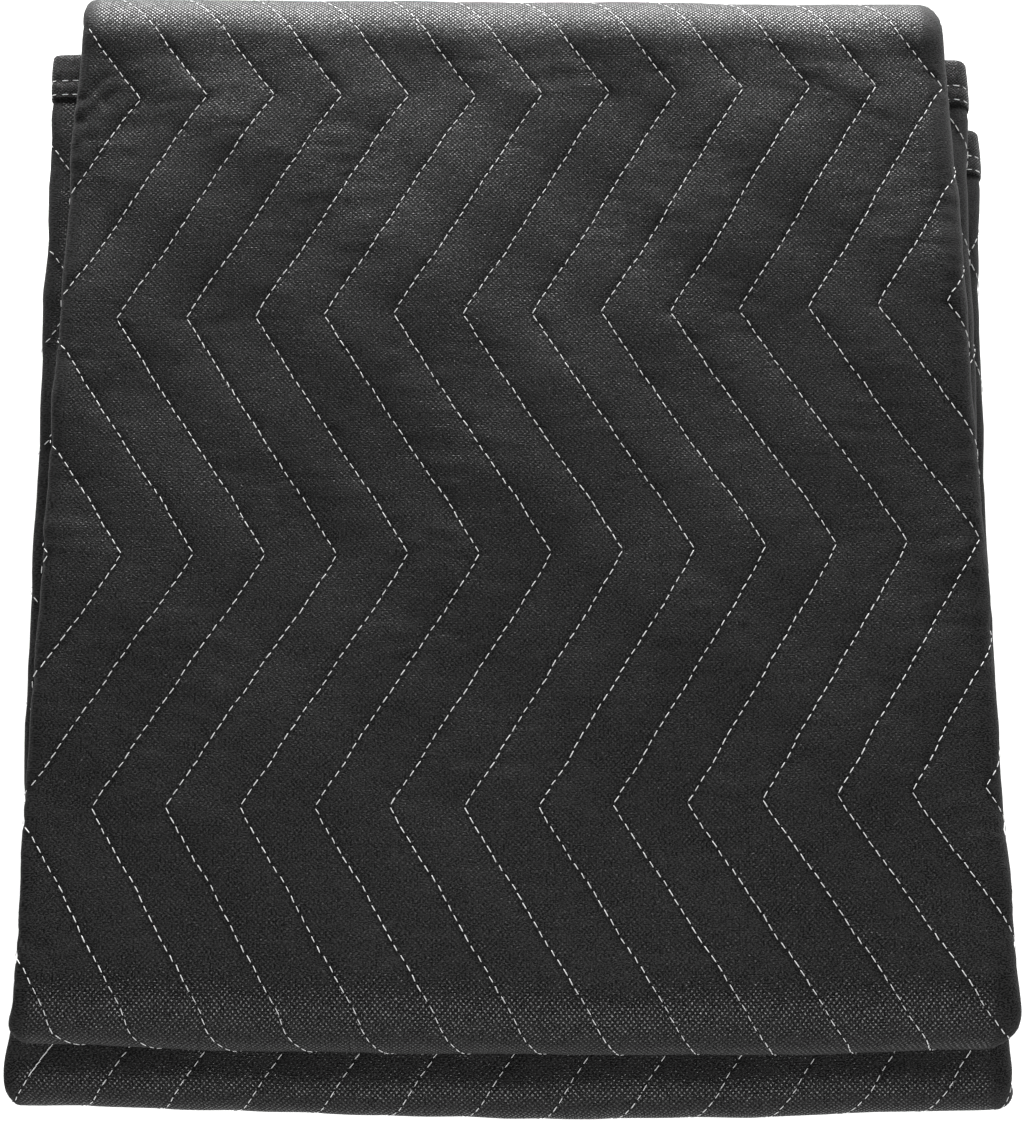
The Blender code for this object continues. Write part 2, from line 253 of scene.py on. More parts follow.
def foldPad(u, v, n):
    u, v, n = (np.asarray(a, float) for a in (u, v, n))
    x, depth, outX, outDepth, share = sectionAt(u, v)
    y, z, lookY, lookZ = lineAt(v)
    near = np.minimum(np.minimum(np.abs(share), np.abs(1 - share)), 0.5)
    near = np.where((share < 0) | (share > 1), -near, near)
    bow = f["frontBow"] * np.where(near < 0.25, 3 * near, 0.5 + near)
    x = x + n * outX
    depth = depth + n * outDepth
    y = y - depth * lookY
    z = z - depth * lookZ
    backwards = (y - f["highFrontY"]) / -f["highFrontY"]
    highMiddle = stackHeight - 4 * f["highPitch"] - f["stripGap"] / 2
    sunk = eased((backwards * -f["highFrontY"] - f["droopFrom"]) / (f["droopTo"] - f["droopFrom"]))
    z = z - f["droop"] * sunk * np.clip((z - highMiddle) / (stackHeight - highMiddle), 0, 1)
    points = np.stack([x, y - bow * eased(1 - backwards), z * (1 + f["backRise"] * backwards)], 1)
    return settle(points + np.array(f["toFrame"]))


# the quilting: zigzag rows of lockstitch, and how the cloth rises between them
quilting = {
    "spacing": 33.1 * mm,
    "offset": 10.1 * mm,
    "width": 71.5 * mm,
    "step": 115.3 * mm,
    "hiddenStep": 123.3 * mm,  # round the back and underneath
    "lean": -0.025,  # how much the rows of corners run askew to the folds
    "leanReach": 235 * mm,
    "leanStart": 30 * mm,  # it begins this far from the pad's ends,
    "leanFade": 150 * mm,  # and is whole after this
    "uneven": {  # for a row of corners: how far off to the right, how far forwards, how much wider
        -6: (1.5 * mm, 0, 0),
        -5: (-8 * mm, 0, 0),
        -1: (-4.3 * mm, 0, 0.0234),
        0: (-0.3 * mm, -3.3 * mm, -0.0042),
        1: (-0.7 * mm, -1.2 * mm, -0.0091),
        2: (3.2 * mm, 0.3 * mm, -0.0139),
        3: (1.8 * mm, 0.4 * mm, -0.0119),
        4: (4 * mm, 8 * mm, 0.01),
        5: (0, 25 * mm, 0),
        6: (0, 25 * mm, 0),
        7: (0, 25 * mm, 0),
        8: (0, 25 * mm, 0),
    },
    "cornerRowY": -34.5 * mm,
    "crown": 0.28 * mm,  # how far a channel stands above its stitching
    "groove": 0.32 * mm,  # the pinch right beside the thread
    "grooveWidth": 1.5 * mm,
    "pucker": 0.45 * mm,  # the small gathers that cross the thread
    "gatherLength": 5.5 * mm,
    "gatherReach": 4 * mm,  # to each side of the thread
    "slope": 0.85,  # from across the pad to square across a slanting row
    "tautness": 0.55,  # the share of all this that is pulled flat round the folds
    "tautReach": 12 * mm,  # how far beside a fold that begins
    "wobble": ((0.28 * mm, 43 * mm, 0.6), (0.2 * mm, 17.5 * mm, 2.2)),  # size, length, phase
    "wave": 0.2 * mm,
    "waveSize": (26 * mm, 34 * mm),  # across the pad and along it
    "ripple": 0.5 * mm,  # fine wrinkles across the pad, in patches
    "rippleSize": (17 * mm, 4.2 * mm),
    "ripplePatch": (60 * mm, 45 * mm),
}
q = quilting


def cornerRows():
    # v, shift of the lines there, and how much they fan out
    first = begins["top"] - q["cornerRowY"]
    rows = [(first + k * q["step"], k) for k in range(-1, 10)]
    rows += [(rows[0][0] - k * q["hiddenStep"], -1 - k) for k in range(1, 12)]
    rows = sorted(row for row in rows if -q["step"] < row[0] < cutLength + q["step"])
    found = []
    for v, k in rows:
        shift, forwards, fan = q["uneven"].get(k, (0, 0, 0))
        found.append((v + forwards, shift + (0.0 if k % 2 else q["width"]), fan))
    return found


corners = cornerRows()


def lineAtCorners(row, k):
    # where line k of the quilting meets a row of corners
    _, shift, fan = row
    return (q["offset"] + shift + k * q["spacing"]) * (1 + fan)


def askew(u, v):
    # how far along the pad the quilting is displaced
    start, fade = q["leanStart"], q["leanFade"]
    whole = eased((v - start) / fade) * eased((cutLength - start - v) / fade)
    return q["lean"] * np.clip(u, -q["leanReach"], q["leanReach"]) * whole


def padV(u, sewnV):
    # along the pad, from along the quilting, closer with each round
    v = sewnV
    for _ in range(5):
        v = sewnV + askew(u, v)
    return v


def wobbleAt(v):
    # the needles share one carriage, so that every row strays alike
    return sum(size * np.sin(2 * math.pi * v / length + phase) for size, length, phase in q["wobble"])


def linesAt(v):
    # where line 0 is, and the spacing, at v
    rows = np.array(corners)
    shift = np.interp(v, rows[:, 0], rows[:, 1])
    fan = np.interp(v, rows[:, 0], rows[:, 2])
    return (q["offset"] + shift) * (1 + fan) + wobbleAt(v), q["spacing"] * (1 + fan)


def noiseAt(a, b, seed, scaleA, scaleB):
    return np.array([noise.noise(Vector((x / scaleA, y / scaleB, seed))) for x, y in zip(a, b)])


def tautAt(v):
    # 1 round the folds, 0 where the pad lies flat
    share = np.zeros_like(v)
    reach = q["tautReach"]
    for name, length, radius in stretches:
        if radius:
            start = begins[name]
            before = eased((v - start + reach) / reach)
            after = eased((start + length + reach - v) / reach)
            share = np.maximum(share, before * after)
    return share


# soft creases on the top, in mm: from and to, each as how far right of the middle and how far
# in front of the top's back end, then depth and half width
creaseTroughs = (
    (-214, 38, -200, 22, 0.8, 2.0),
    (-216, 50, -192, 30, 1.0, 2.2),
    (-214, 64, -203, 56, 0.5, 2.0),
    (-203, 25, -188, 12, 0.5, 2.0),
    (140, 20, 162, 31, 0.4, 2.4),
    (153, 27, 195, 53, 0.5, 2.6),
    (170, 48, 184, 60, 0.3, 2.0),
    (-212, 316, -194, 311, 0.5, 1.8),
    (-211, 339, -192, 340, 0.4, 1.8),
    (-212, 232, -190, 236, 0.4, 1.8),
    (90, 271, 97, 282, 0.4, 1.8),
    (149, 275, 163, 282, 0.35, 1.8),
    (182, 282, 206, 287, 0.35, 1.8),
    (14, 285, 15, 425, 0.25, 1.1),
    (-215, 438, -203, 451, 0.8, 1.7),
    (-216, 463, -203, 453, 0.7, 1.7),
    (-206, 452, -190, 456, 0.4, 2.0),
)
creasing = {
    "bow": 1.2,  # mm that a crease strays from straight
    "turn": 5,  # radians of that along it
    "fade": 0.3,  # the share of its length in which an end dies out
    "end": 0.3,  # how much of it is left there, before easing
}


def creasesAt(u, v):
    depth = np.zeros_like(u)
    for x0, y0, x1, y1, deep, wide in creaseTroughs:
        x, y = u / mm - x0, (v - begins["top"]) / mm - y0
        length = math.hypot(x1 - x0, y1 - y0)
        alongX, alongY = (x1 - x0) / length, (y1 - y0) / length
        share = (x * alongX + y * alongY) / length
        bend = creasing["bow"] * np.sin(share * creasing["turn"])
        off = (x * alongY - y * alongX + bend) / wide
        fade, end = creasing["fade"], creasing["end"]
        ends = eased(share / fade + end) * eased((1 - share) / fade + end)
        depth += deep * mm * np.exp(-off * off) * ends
    return depth


def reliefAt(u, v, fine=True):
    # depth under the crown of the channel
    start, spacing = linesAt(v - askew(u, v))
    apart = (u - start) / spacing
    near = np.abs(apart - np.round(apart))
    away = near * spacing * q["slope"]
    depth = q["crown"] * (1 - 2 * near) ** 2 + q["groove"] * np.exp(-((away / q["grooveWidth"]) ** 2))
    if fine:
        gathers = noiseAt(v, np.round(apart) * 3.7 + u * 8, 3.3, q["gatherLength"], 1.0)
        depth = depth + q["pucker"] * (0.5 + gathers) * np.exp(-away / q["gatherReach"])
    depth = depth * (1 - q["tautness"] * tautAt(v))
    if fine:
        waves = noiseAt(u, v, 8.1, *q["waveSize"])
        depth = depth + q["wave"] * (0.5 + waves) * (1 - 0.7 * tautAt(v))
        patches = eased(0.55 + 1.4 * noiseAt(u, v, 2.9, *q["ripplePatch"]))
        ripples = noiseAt(u, v, 5.7, *q["rippleSize"]) * patches
        depth = depth + q["ripple"] * (0.5 + ripples) * (1 - tautAt(v)) + creasesAt(u, v)
    return depth


binding = {
    "width": 25 * mm,
    "tape": 0.6 * mm,
    "clearance": 0.3 * mm,
    "pressed": 2.2 * mm,  # the pad's thickness inside it
    "taper": 5 * mm,  # beside it, where the pad fills out again
    "stitchRows": (14.7 * mm, 22.8 * mm),  # in from the pad's edge
    "sharpFrom": 50,  # degrees
}
edgeZone = binding["width"] + 1 * mm


def fullness(u, v):
    inside = np.minimum(np.minimum(u + cutLeft, cutRight - u), np.minimum(v, cutLength - v))
    return eased((inside - edgeZone) / binding["taper"])


def faceHeight(u, v, fine=True):
    # n of the face side of the pad
    full = f["fill"] * stripAt(v)[2]
    share = fullness(u, v)
    pressed = binding["pressed"]
    return (pressed + (full - pressed) * share) / 2 - reliefAt(u, v, fine) * share


# helpers for node trees
def nodesOf(name):
    material = bpy.data.materials.new(name)
    material.use_nodes = True
    tree = material.node_tree
    return material, tree, tree.nodes["Principled BSDF"]


def addNode(tree, kind, settings=(), **inputs):
    node = tree.nodes.new(kind)
    for key, value in dict(settings).items():
        setattr(node, key, value)
    for key, value in inputs.items():
        socket = node.inputs[int(key[1:])] if key[0] == "i" and key[1:].isdigit() else node.inputs[key]
        if isinstance(value, bpy.types.NodeSocket):
            tree.links.new(value, socket)
        else:
            socket.default_value = value
    return node


def maths(tree, operation, *values):
    inputs = {"i%d" % k: value for k, value in enumerate(values)}
    return addNode(tree, "ShaderNodeMath", {"operation": operation}, **inputs).outputs[0]


def vectorMaths(tree, operation, *values, **inputs):
    inputs.update({"i%d" % k: value for k, value in enumerate(values)})
    return addNode(tree, "ShaderNodeVectorMath", {"operation": operation}, **inputs).outputs[0]


def noiseTexture(tree, place, scale, detail, **inputs):
    inputs.update(Vector=place, Scale=scale, Detail=detail)
    return addNode(tree, "ShaderNodeTexNoise", **inputs).outputs


def attributeOf(tree, name):
    return addNode(tree, "ShaderNodeAttribute", {"attribute_name": name}).outputs["Fac"]


def rangeOf(tree, value, low, high, toLow=0.0, toHigh=1.0):
    inputs = {"Value": value, "From Min": low, "From Max": high, "To Min": toLow, "To Max": toHigh}
    settings = {"interpolation_type": "SMOOTHSTEP"}
    return addNode(tree, "ShaderNodeMapRange", settings, **inputs).outputs[0]


def mixColour(tree, share, a, b):
    node = tree.nodes.new("ShaderNodeMix")
    node.data_type = "RGBA"
    for socket, value in ((node.inputs[0], share), (node.inputs[6], a), (node.inputs[7], b)):
        if isinstance(value, bpy.types.NodeSocket):
            tree.links.new(value, socket)
        else:
            socket.default_value = value
    return node.outputs[2]


def grey(value, warm=0.0):
    return (value * (1 + warm), value, value * (1 - warm), 1)


# the cloth's face: pressed dots in black fibres. Scales are in grains to the millimetre
faceCloth = {
    "dark": 0.001,
    "light": 0.0185,
    "dotPitch": 2.3,  # mm, across
    "rowPitch": 1.25,  # mm between rows, each set off by half a pitch
    "strayScale": 0.7,
    "stray": (1.1, 0.7, 0),  # mm that the fibres pull the dots about
    "fibreLie": (0.7, 1.15, 1),  # they lie more across the pad than along it
    "fibreScale": 1.5,
    "fibreHeight": 1.5,
    "dotHeight": 0.35,
    "grain": 0.7,
    "grainDepth": 0.26 * mm,
    "wornScale": 0.16,
    "worn": 0.3,  # how pale the worn patches are
    "warmth": 0.01,
    "roughness": 0.8,
    "dotRoughness": 0.3,
    "gloss": 0.08,
    "dotGloss": 0.4,
    "crushed": 0.7,  # how much fainter the dots are along the long folds
    "seamPaintedShade": 0.7,  # painted shade: how much darker the colour is made in the pinch along the stitching, where its shadow falls
    # the grey of that painted shade in the pinch
    "seamPaintedShadeGrey": 0.003,
    "lint": 0.35,
    "lintGrey": 0.55,
    "lintScale": 0.045,
    "lintSize": 0.011,  # a share of the space that each speck has
    "wrinkles": 0.5,
    "wrinkleLie": (0.1, 0.25, 1),  # long across the pad, short along it
    "wrinklePatch": 0.022,
    "wrinkleDepth": 0.6 * mm,
    "sheen": 0.02,
    "sheenRoughness": 0.45,
}
bindingTape = {
    **faceCloth,
    "dotPitch": 1.7,
    "rowPitch": 0.85,
    "light": 0.016,
    "dotGloss": 0.3,
}
thread = {
    "grey": 0.5,
    "roughness": 0.65,
    "fibreScale": 1800.0,  # grains to the metre
    "fibres": 0.3,
    "fibreDepth": 0.15 * mm,
}


def clothMaterial(name, s):
    material, tree, shader = nodesOf(name)
    place = addNode(tree, "ShaderNodeUVMap", {"uv_map": "cloth"}).outputs[0]
    inMm = vectorMaths(tree, "SCALE", place, Scale=1 / mm)
    # the pressed dots, pulled about by the fibres
    stray = noiseTexture(tree, inMm, s["strayScale"], 1.0)[1]
    pulled = vectorMaths(tree, "MULTIPLY_ADD", stray, s["stray"], inMm)
    split = addNode(tree, "ShaderNodeSeparateXYZ", i0=pulled).outputs
    across = maths(tree, "COSINE", maths(tree, "MULTIPLY", split[0], 2 * math.pi / s["dotPitch"]))
    along = maths(tree, "COSINE", maths(tree, "MULTIPLY", split[1], math.pi / s["rowPitch"]))
    lattice = maths(tree, "MULTIPLY", across, along)
    flat = vectorMaths(tree, "MULTIPLY", inMm, s["fibreLie"])
    fuzz = noiseTexture(tree, flat, s["fibreScale"], 1.0, Roughness=0.4)[0]
    broad = noiseTexture(tree, flat, s["wornScale"], 3.0, Roughness=0.6)[0]
    dots = maths(tree, "ADD", lattice, maths(tree, "MULTIPLY", fuzz, 0.6))
    dots = rangeOf(tree, dots, 0.45, 1.0)
    faint = maths(tree, "MULTIPLY_ADD", attributeOf(tree, "folded"), -s["crushed"], 1.0)
    dots = maths(tree, "MULTIPLY", dots, faint)
    # black fibres, paler where worn, with a little lint, and painted shade darkening the pinch along the
    # stitching
    colour = mixColour(tree, rangeOf(tree, fuzz, 0.43, 0.57), grey(s["dark"]), grey(s["light"]))
    worn = rangeOf(tree, broad, 0.38, 0.68, 0.0, s["worn"])
    colour = mixColour(tree, worn, colour, grey(s["light"], s["warmth"]))
    specks = addNode(tree, "ShaderNodeTexVoronoi", Vector=inMm, Scale=s["lintScale"], Randomness=1.0)
    speck = maths(tree, "LESS_THAN", specks.outputs["Distance"], s["lintSize"])
    colour = mixColour(tree, maths(tree, "MULTIPLY", speck, s["lint"]), colour, grey(s["lintGrey"]))
    # painted shade: the colour is darkened beside the thread, standing in for the shadow in its pinch
    seamPaintedShade = maths(tree, "MULTIPLY", attributeOf(tree, "sewn"), s["seamPaintedShade"])
    colour = mixColour(tree, seamPaintedShade, colour, grey(s["seamPaintedShadeGrey"]))
    tree.links.new(colour, shader.inputs["Base Color"])
    height = maths(tree, "ADD", maths(tree, "MULTIPLY", dots, s["dotHeight"]),
                   maths(tree, "MULTIPLY", fuzz, s["fibreHeight"]))
    # fine wrinkles, mostly across the pad, in patches
    lain = vectorMaths(tree, "MULTIPLY", inMm, s["wrinkleLie"])
    wrinkle = noiseTexture(tree, lain, 1.0, 2.0, Distortion=0.8)[0]
    patches = noiseTexture(tree, inMm, s["wrinklePatch"], 1.0)[0]
    wrinkle = maths(tree, "MULTIPLY", wrinkle, rangeOf(tree, patches, 0.4, 0.65, 0.25, 1.0))
    wrinkled = addNode(tree, "ShaderNodeBump", Height=wrinkle, Strength=s["wrinkles"],
                       Distance=s["wrinkleDepth"]).outputs[0]
    grain = addNode(tree, "ShaderNodeBump", Height=height, Strength=s["grain"],
                    Distance=s["grainDepth"], Normal=wrinkled).outputs[0]
    tree.links.new(grain, shader.inputs["Normal"])
    rough = maths(tree, "MULTIPLY_ADD", dots, s["dotRoughness"] - s["roughness"], s["roughness"])
    tree.links.new(rough, shader.inputs["Roughness"])
    gloss = rangeOf(tree, dots, 0.3, 1.0, s["gloss"], s["dotGloss"])
    tree.links.new(gloss, shader.inputs["Specular IOR Level"])
    shader.inputs["Sheen Weight"].default_value = s["sheen"]
    shader.inputs["Sheen Roughness"].default_value = s["sheenRoughness"]
    return material


def threadMaterial(name, s):
    material, tree, shader = nodesOf(name)
    place = addNode(tree, "ShaderNodeTexCoord").outputs["Object"]
    fibres = noiseTexture(tree, place, s["fibreScale"], 2.0)[0]
    bump = addNode(tree, "ShaderNodeBump", Height=fibres, Strength=s["fibres"], Distance=s["fibreDepth"])
    tree.links.new(bump.outputs[0], shader.inputs["Normal"])
    shader.inputs["Base Color"].default_value = grey(s["grey"])
    shader.inputs["Roughness"].default_value = s["roughness"]
    return material


clothBlack = clothMaterial("blackFaceCloth", faceCloth)
tapeBlack = clothMaterial("blackBindingTape", bindingTape)
threadGrey = threadMaterial("greyThread", thread)
print("materials made")


# meshes that are laid out flat and then folded
meshing = {
    "columns": {"thinFold": 8, "fatFold": 12, "face": 16},
    "besideFolds": (5 * mm, 11 * mm),
    "hiddenColumns": (0.25, 0.5, 0.75),  # shares of a layer's width
    "rows": {  # mm apart along each stretch
        "lowTuck": 9,
        "lowFront": 3.2,
        "base": 9,
        "back": 3.2,
        "top": 3.2,
        "highFront": 3,
        "highTuck": 9,
    },
    "frontRows": 12,  # on the part of the low tuck that shows
    "apart": 0.9 * mm,  # rows are at least this far from those that matter
    "beside": (1.2, 2.7, 5.5, 10.0),  # mm, cuts on each side of a row of stitching
    "snap": 0.05 * mm,
    "paintedShadeReach": 1 * mm,  # how far the painted shade in the pinch reaches from the thread
    "foldedReach": 3 * mm,  # how far the crushed dots reach from a long fold
    "sharpFrom": 60,  # degrees
}
frontOfLowTuck = 0.92  # the share of it after which it shows under the upper fold


def makeObject(name, mesh, material):
    mesh.materials.clear()
    mesh.materials.append(material)
    obj = bpy.data.objects.new(name, mesh)
    scene.collection.objects.link(obj)
    return obj


def shareOut(low, high, count):
    return [low + (high - low) * k / count for k in range(count + 1)]


def padColumns():
    left, right = f["leftCrease"], f["rightCrease"]
    far = right + fatFold + layerWidth
    columns = meshing["columns"]
    found = [-cutLeft, edgeZone - cutLeft, edgeZone + binding["taper"] - cutLeft]
    found += [cutRight, cutRight - edgeZone, cutRight - edgeZone - binding["taper"]]
    found += shareOut(left - thinFold, left, columns["thinFold"])
    found += shareOut(right, right + fatFold, columns["fatFold"])
    found += shareOut(far, far + thinFold, columns["thinFold"])
    found += shareOut(left, right, columns["face"])[1:-1]
    for beside in meshing["besideFolds"]:
        found += [left - thinFold - beside, left + beside, right - beside]
        found += [right + fatFold + beside, far - beside, far + thinFold + beside]
    for share in meshing["hiddenColumns"]:
        found += [left - thinFold - share * layerWidth, right + fatFold + share * layerWidth]
        found += [far + thinFold + share * layerWidth]
    return sorted(found)


def padRows():
    # the few rows that matter, and all of them
    fixed = [v for v, _, _ in corners if 0 < v < cutLength]
    fixed += [edgeZone, edgeZone + binding["taper"]]
    fixed += [cutLength - edgeZone - binding["taper"], cutLength - edgeZone]
    fixed += [begins[name] for name, _, _ in stretches[1:]]
    found = []
    for name, length, _ in stretches:
        count = max(1, round(length / (meshing["rows"][name] * mm)))
        found += shareOut(begins[name], begins[name] + length, count)
    start = placeAt("lowTuck", frontOfLowTuck)
    found += shareOut(start, begins["lowFront"], meshing["frontRows"])[:-1]
    for place in (begins["base"] + 3 * mm, begins["back"] - 6 * mm, begins["highTuck"] + 3 * mm):
        found += [place, place + 3 * mm]
    fixed = [0, *fixed, cutLength]
    kept = [v for v in found if all(abs(v - other) > meshing["apart"] for other in fixed)]
    return sorted(fixed), sorted(kept + fixed)


def flatPad(rows):
    # a closed flat box of large faces: face side up, and the rim
    columns = padColumns()
    wide, long = len(columns), len(rows)
    verts = [(u, v, side) for side in (1, -1) for v in rows for u in columns]
    under = wide * long
    faces = []
    for i in range(long - 1):
        for j in range(wide - 1):
            a = i * wide + j
            faces.append((a, a + 1, a + 1 + wide, a + wide))
            faces.append((under + a, under + a + wide, under + a + 1 + wide, under + a + 1))
    rim = list(range(wide)) + [i * wide + wide - 1 for i in range(1, long)]
    rim += [(long - 1) * wide + j for j in range(wide - 2, -1, -1)]
    rim += [i * wide for i in range(long - 2, 0, -1)]
    for a, b in zip(rim, rim[1:] + rim[:1]):
        faces.append((b, a, under + a, under + b))
    mesh = bpy.data.meshes.new("pad")
    mesh.from_pydata(verts, [], faces)
    return mesh


def cutAlongStitching(bm):
    # edges along the stitching and halfway to the next row, so that channels have clean sides
    shown = (
        (placeAt("lowTuck", frontOfLowTuck), begins["base"]),
        (begins["back"], begins["highTuck"]),
    )
    offsets = [0.0, q["spacing"] / 2]
    offsets += [sign * offset * mm for offset in meshing["beside"] for sign in (1, -1)]
    for lower, upper in zip(corners, corners[1:]):
        low, high = lower[0], upper[0]
        band = []
        for face in bm.faces:
            middle = face.calc_center_median()
            if face.normal.z > 0.5 and low < middle.y < high and outerLeft < middle.x < outerRight:
                if any(a < middle.y < b for a, b in shown):
                    band.append(face)
        if not band:
            continue
        edges = dict.fromkeys(edge for face in band for edge in face.edges)
        points = dict.fromkeys(point for face in band for point in face.verts)
        geometry = [*edges, *points, *band]
        for k in range(-10, 10):
            atLow, atHigh = lineAtCorners(lower, k), lineAtCorners(upper, k)
            normal = (1, -(atHigh - atLow) / (high - low), 0)
            for offset in offsets:
                if max(atLow, atHigh) + offset > outerLeft and min(atLow, atHigh) + offset < outerRight:
                    done = bmesh.ops.bisect_plane(
                        bm, geom=geometry, dist=meshing["snap"],
                        plane_co=(atLow + offset, low, 0), plane_no=normal)
                    geometry = done["geom"]


def sliceRows(bm, rows):
    # cuts flat faces at the rows, and numbers the points that they share
    rows = np.array(rows)
    for point in bm.verts:
        nearest = rows[np.argmin(np.abs(rows - point.co.y))]
        if abs(nearest - point.co.y) < meshing["snap"]:
            point.co.y = nearest
    rows = rows.astype(np.float32).astype(float)
    numbers, points, faces = {}, [], []

    def number(point):
        if point not in numbers:
            numbers[point] = len(points)
            points.append(point)
        return numbers[point]

    polygons = [[tuple(p.co) for p in face.verts] for face in bm.faces]
    for polygon in polygons:
        low, high = min(p[1] for p in polygon), max(p[1] for p in polygon)
        rest = polygon
        for row in rows[(rows > low) & (rows < high)].tolist():
            below, above = [], []
            for a, b in zip(rest, rest[1:] + rest[:1]):
                if a[1] <= row:
                    below.append(a)
                if a[1] >= row:
                    above.append(a)
                if (a[1] < row < b[1]) or (b[1] < row < a[1]):
                    lowEnd, highEnd = sorted((a, b), key=lambda p: p[1])
                    share = (row - lowEnd[1]) / (highEnd[1] - lowEnd[1])
                    crossing = (lowEnd[0] + (highEnd[0] - lowEnd[0]) * share, row,
                                lowEnd[2] + (highEnd[2] - lowEnd[2]) * share)
                    below.append(crossing)
                    above.append(crossing)
            if len(below) > 2:
                faces.append([number(p) for p in below])
            rest = above
        if len(rest) > 2:
            faces.append([number(p) for p in rest])
    return points, faces


def flatPlaces(mesh):
    flat = np.empty(len(mesh.vertices) * 3)
    mesh.vertices.foreach_get("co", flat)
    return flat.reshape(-1, 3)


def addShare(mesh, name, values):
    mesh.attributes.new(name, "FLOAT", "POINT").data.foreach_set("value", values)


def foldMesh(mesh, heightOf):
    flat = flatPlaces(mesh)
    layer = mesh.uv_layers.new(name="cloth")
    loops = np.empty(len(mesh.loops), int)
    mesh.loops.foreach_get("vertex_index", loops)
    layer.data.foreach_set("uv", flat[loops, :2].ravel())
    points = foldPad(flat[:, 0], flat[:, 1], heightOf(flat))
    mesh.vertices.foreach_set("co", points.ravel())
    mesh.flip_normals()
    mesh.shade_smooth()
    mesh.update()


def addPad():
    fewRows, allRows = padRows()
    bm = bmesh.new()
    bm.from_mesh(flatPad(fewRows))
    bm.normal_update()
    cutAlongStitching(bm)
    points, faces = sliceRows(bm, allRows)
    bm.free()
    mesh = bpy.data.meshes.new("pad")
    mesh.from_pydata(points, [], faces)
    bm = bmesh.new()
    bm.from_mesh(mesh)
    bmesh.ops.triangulate(bm, faces=bm.faces)
    print("open edges of the pad:", sum(len(edge.link_faces) != 2 for edge in bm.edges))
    bm.to_mesh(mesh)
    bm.free()

    def height(flat):
        u, v, side = flat.T
        face = side > 0
        full = f["fill"] * stripAt(v)[2]
        share = fullness(u, v)
        n = -(binding["pressed"] + (full - binding["pressed"]) * share) / 2
        n[face] = faceHeight(u[face], v[face])
        return n

    # where the material paints shade along the stitching and crushes the dots
    u, v, _ = flatPlaces(mesh).T
    start, spacing = linesAt(v)
    apart = (u - start) / spacing
    away = np.abs(apart - np.round(apart)) * spacing * q["slope"]
    # the sewn share masks the painted shade beside each row of quilting
    addShare(mesh, "sewn", np.exp(-((away / meshing["paintedShadeReach"]) ** 2)))
    longFolds = (
        (outerLeft, f["leftCrease"]),
        (f["rightCrease"], outerRight),
        (farCrease, farCrease + thinFold),
    )
    beside = np.full(len(u), 1.0)
    for low, high in longFolds:
        beside = np.minimum(beside, np.maximum(np.maximum(low - u, u - high), 0))
    addShare(mesh, "folded", np.exp(-((beside / meshing["foldedReach"]) ** 2)))
    for point in mesh.vertices:
        point.co.y = padV(point.co.x, point.co.y)
    foldMesh(mesh, height)
    mesh.set_sharp_from_angle(angle=math.radians(meshing["sharpFrom"]))
    return makeObject("quiltedPad", mesh, clothBlack)


quiltedPad = addPad()
print("pad folded:", len(quiltedPad.data.polygons), "triangles")


# bindings: a tape folded over each edge and sewn with two rows
def tapeProfile():
    # (distance in from the pad's edge, height) round the section, with the sewn rows pressed in
    inner = binding["pressed"] / 2 + binding["clearance"]
    outer = inner + binding["tape"]
    rowA, rowB = binding["stitchRows"]
    stops = [(0, 0), (3 * mm, 0.10), (8 * mm, 0.16), (rowA - 1.4 * mm, 0.10), (rowA, -0.16)]
    stops += [(rowA + 1.4 * mm, 0.10), ((rowA + rowB) / 2, 0.16), (rowB - 1.3 * mm, 0.10), (rowB, -0.16)]
    stops += [(rowB + 1 * mm, 0.02), (24.6 * mm, -0.05), (binding["width"], -0.25)]
    face = [(w, outer + rise * mm) for w, rise in stops]
    nose = [(-(binding["clearance"] + binding["tape"]) * math.cos(a), outer * math.sin(a))
            for a in (math.radians(d) for d in (60, 30, 0, -30, -60))]
    lining = [(binding["width"], inner), (12 * mm, inner), (-0.2 * mm, inner)]
    loop = face[::-1] + nose + [(w, -h) for w, h in face]
    return loop + [(w, -h) for w, h in lining] + lining[::-1]


def addTape(name, stations, toPad):
    # toPad turns a station, a distance in from the edge and a height into (u, v, n)
    profile = tapeProfile()
    around, count = len(profile), len(stations)
    verts = [toPad(s, w, h) for s in stations for w, h in profile]
    faces = [tuple(range(around))[::-1], tuple((count - 1) * around + k for k in range(around))]
    for i in range(count - 1):
        for k in range(around):
            a, b = i * around + k, i * around + (k + 1) % around
            faces.append((a, b, b + around, a + around))
    mesh = bpy.data.meshes.new(name)
    mesh.from_pydata(verts, [], faces)
    bm = bmesh.new()
    bm.from_mesh(mesh)
    bmesh.ops.recalc_face_normals(bm, faces=bm.faces)
    bmesh.ops.triangulate(bm, faces=bm.faces)
    bm.to_mesh(mesh)
    bm.free()
    foldMesh(mesh, lambda flat: flat[:, 2])
    mesh.set_sharp_from_angle(angle=math.radians(binding["sharpFrom"]))
    return makeObject(name, mesh, tapeBlack)


reach = binding["clearance"] + binding["tape"]
acrossStations = [-cutLeft - reach, *padColumns(), cutRight + reach]
butt = binding["width"] + binding["clearance"]  # the long edges' tapes end at the ends' own
everyOther = [v for v in padRows()[1][::2] if butt + mm < v < cutLength - butt - mm]
alongStations = [butt, *everyOther, cutLength - butt]
lowEndTape = addTape("bindingLowEnd", acrossStations, lambda s, w, h: (s, w, h))
highEndTape = addTape("bindingHighEnd", acrossStations, lambda s, w, h: (s, cutLength - w, h))
leftTape = addTape("bindingLeftEdge", alongStations, lambda s, w, h: (w - cutLeft, s, h))
rightTape = addTape("bindingRightEdge", alongStations, lambda s, w, h: (cutRight - w, s, h))
tapes = [lowEndTape, highEndTape, leftTape, rightTape]
print("tapes folded")


